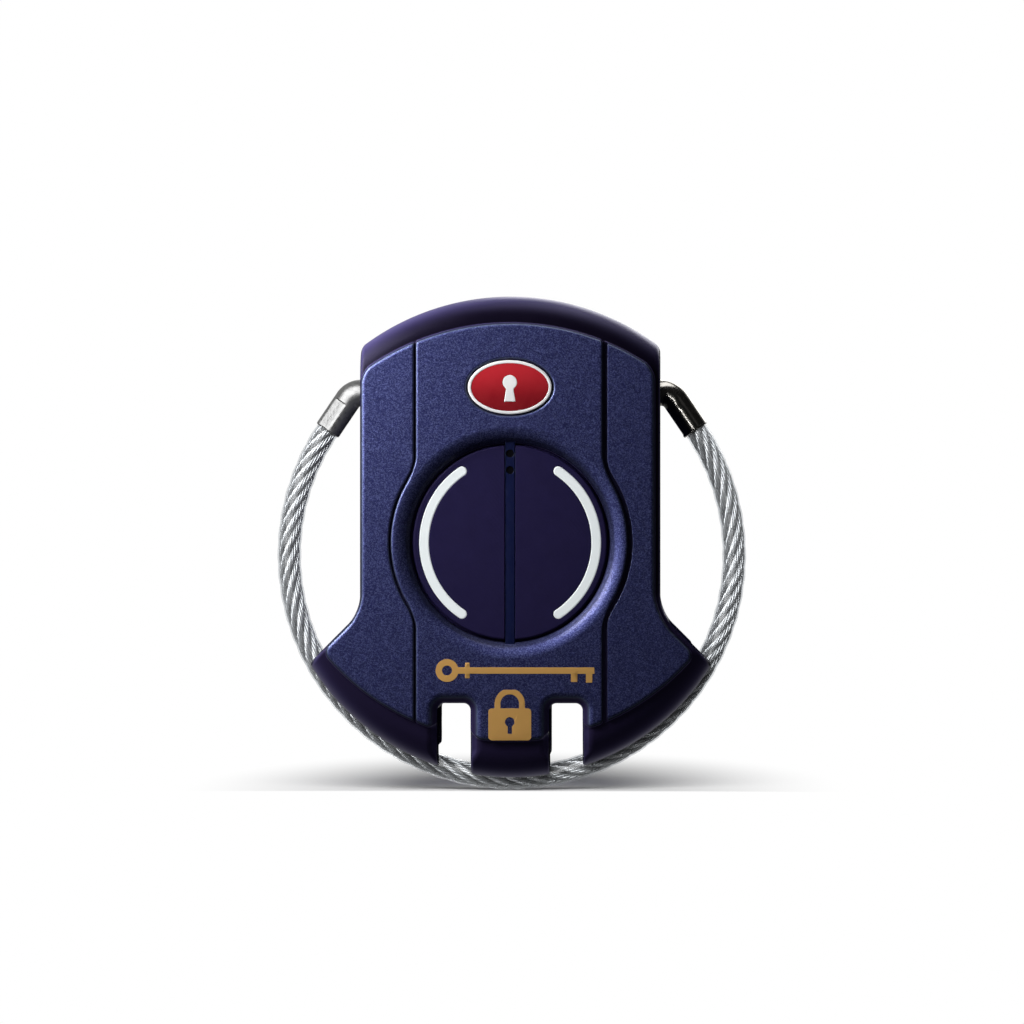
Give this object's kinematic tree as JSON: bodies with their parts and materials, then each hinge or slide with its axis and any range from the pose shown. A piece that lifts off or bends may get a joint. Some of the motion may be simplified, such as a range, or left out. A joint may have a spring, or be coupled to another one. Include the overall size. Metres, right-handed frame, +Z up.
{
  "type": "cable luggage lock",
  "caption": "Luggage lock with a two-half push button, a badge, strap notches at the foot and a jacketed wire-rope loop that swings and unplugs at one end.",
  "frame": {"origin": "on the back face, straight behind the centre of the round button", "axes": "+X to the right as seen from the front, +Z up towards the badge, front faces -Y and the back face lies in y = 0"},
  "size_m": [0.0604, 0.0155, 0.0633],
  "materials": {
    "navy_paint": "gloss",
    "button_rubber": "satin",
    "light_guide": "satin",
    "bar_plastic": "satin",
    "lens_black": "gloss",
    "steel": "satin",
    "seal_rubber": "matte",
    "board_green": "satin",
    "component_black": "matte",
    "can_metal": "satin",
    "pouch_foil": "satin",
    "brass": "satin",
    "flap_rubber": "satin",
    "badge_white": "gloss",
    "badge_red": "gloss",
    "frame_plastic": "matte",
    "socket_steel": "satin",
    "elbow_bright": "gloss",
    "elbow_dark": "gloss",
    "rope_steel": "satin",
    "clear_jacket": "gloss",
    "key_brass": "satin"
  },
  "bodies": {
    "housing": {"front_shell": "navy_paint", "rear_shell": "navy_paint", "housing_gasket": "seal_rubber", "housing_screws": "steel", "button_bar": "bar_plastic", "button_hinge_pin": "steel", "led_lenses": "lens_black", "status_leds": "light_guide", "left_switch": "can_metal", "right_switch": "can_metal", "circuit_board": "board_green", "board_screws": "steel", "radio_module": "can_metal", "buzzer": "brass", "battery": "pouch_foil", "usb_socket": "steel", "flap_hinge_pin": "steel", "badge_base": "badge_white", "badge_enamel": "badge_red", "badge_mark": "badge_white", "mechanism_frame": "frame_plastic", "frame_screws": "steel", "motor_can": "can_metal", "gearbox": "brass", "bolt_spring": "steel", "key_cylinder_housing": "steel", "fixed_socket": "socket_steel", "free_socket": "socket_steel"},
    "right_button": {"right_button": "button_rubber", "right_light_inlay": "light_guide"},
    "left_button": {"left_button": "button_rubber", "left_light_inlay": "light_guide"},
    "right_plunger": {"right_switch_plunger": "component_black"},
    "left_plunger": {"left_switch_plunger": "component_black"},
    "flap": {"port_flap": "flap_rubber"},
    "drive": {"drive_pinion": "brass"},
    "bolt": {"bolt": "steel"},
    "key": {"key_plug": "key_brass", "key_cam": "steel", "cam_screw": "steel"},
    "loop": {"fixed_elbow": "elbow_bright", "fixed_pin_clip": "steel", "wire_rope": "rope_steel", "rope_jacket": "clear_jacket"},
    "free_end": {"free_elbow": "elbow_dark"}
  },
  "joints": [
    {"name": "loop_swing", "type": "hinge", "parent": "housing", "child": "loop", "pos_m": [0, -0.0075, 0.01925], "axis": [1, 0, 0], "range_deg": [0, 170]},
    {"name": "free_slide", "type": "slide", "parent": "loop", "child": "free_end", "axis": [1, 0, 0], "range_m": [0, 0.013], "deforming": ["wire_rope", "rope_jacket"]},
    {"name": "bolt_slide", "type": "slide", "parent": "housing", "child": "bolt", "axis": [0, 0, 1], "range_m": [0, 0.0014], "deforming": ["bolt_spring"]},
    {"name": "pinion_turn", "type": "hinge", "parent": "housing", "child": "drive", "pos_m": [0.0102, -0.0049, 0.0085], "axis": [1, 0, 0], "range_deg": [-54, 0]},
    {"name": "key_turn", "type": "hinge", "parent": "housing", "child": "key", "pos_m": [0.0015, 0, 0.01925], "axis": [0, 1, 0], "range_deg": [-90, 0]},
    {"name": "right_button_tilt", "type": "hinge", "parent": "housing", "child": "right_button", "pos_m": [0, -0.0117, 0], "axis": [0, 0, 1], "range_deg": [0, 2.5]},
    {"name": "right_plunger_travel", "type": "slide", "parent": "housing", "child": "right_plunger", "axis": [0, 1, 0], "range_m": [0, 0.00032]},
    {"name": "left_button_tilt", "type": "hinge", "parent": "housing", "child": "left_button", "pos_m": [0, -0.0117, 0], "axis": [0, 0, -1], "range_deg": [0, 2.5]},
    {"name": "left_plunger_travel", "type": "slide", "parent": "housing", "child": "left_plunger", "axis": [0, 1, 0], "range_m": [0, 0.00032]},
    {"name": "flap_swing", "type": "hinge", "parent": "housing", "child": "flap", "pos_m": [-0.01855, -0.0048, 0], "axis": [0, 0, -1], "range_deg": [0, 95]}
  ],
  "couplings": [
    {"joint": "pinion_turn", "follows": "bolt_slide", "rad_per_m": -666.67},
    {"joint": "right_plunger_travel", "follows": "right_button_tilt", "m_per_rad": 0.007},
    {"joint": "left_plunger_travel", "follows": "left_button_tilt", "m_per_rad": 0.007}
  ]
}
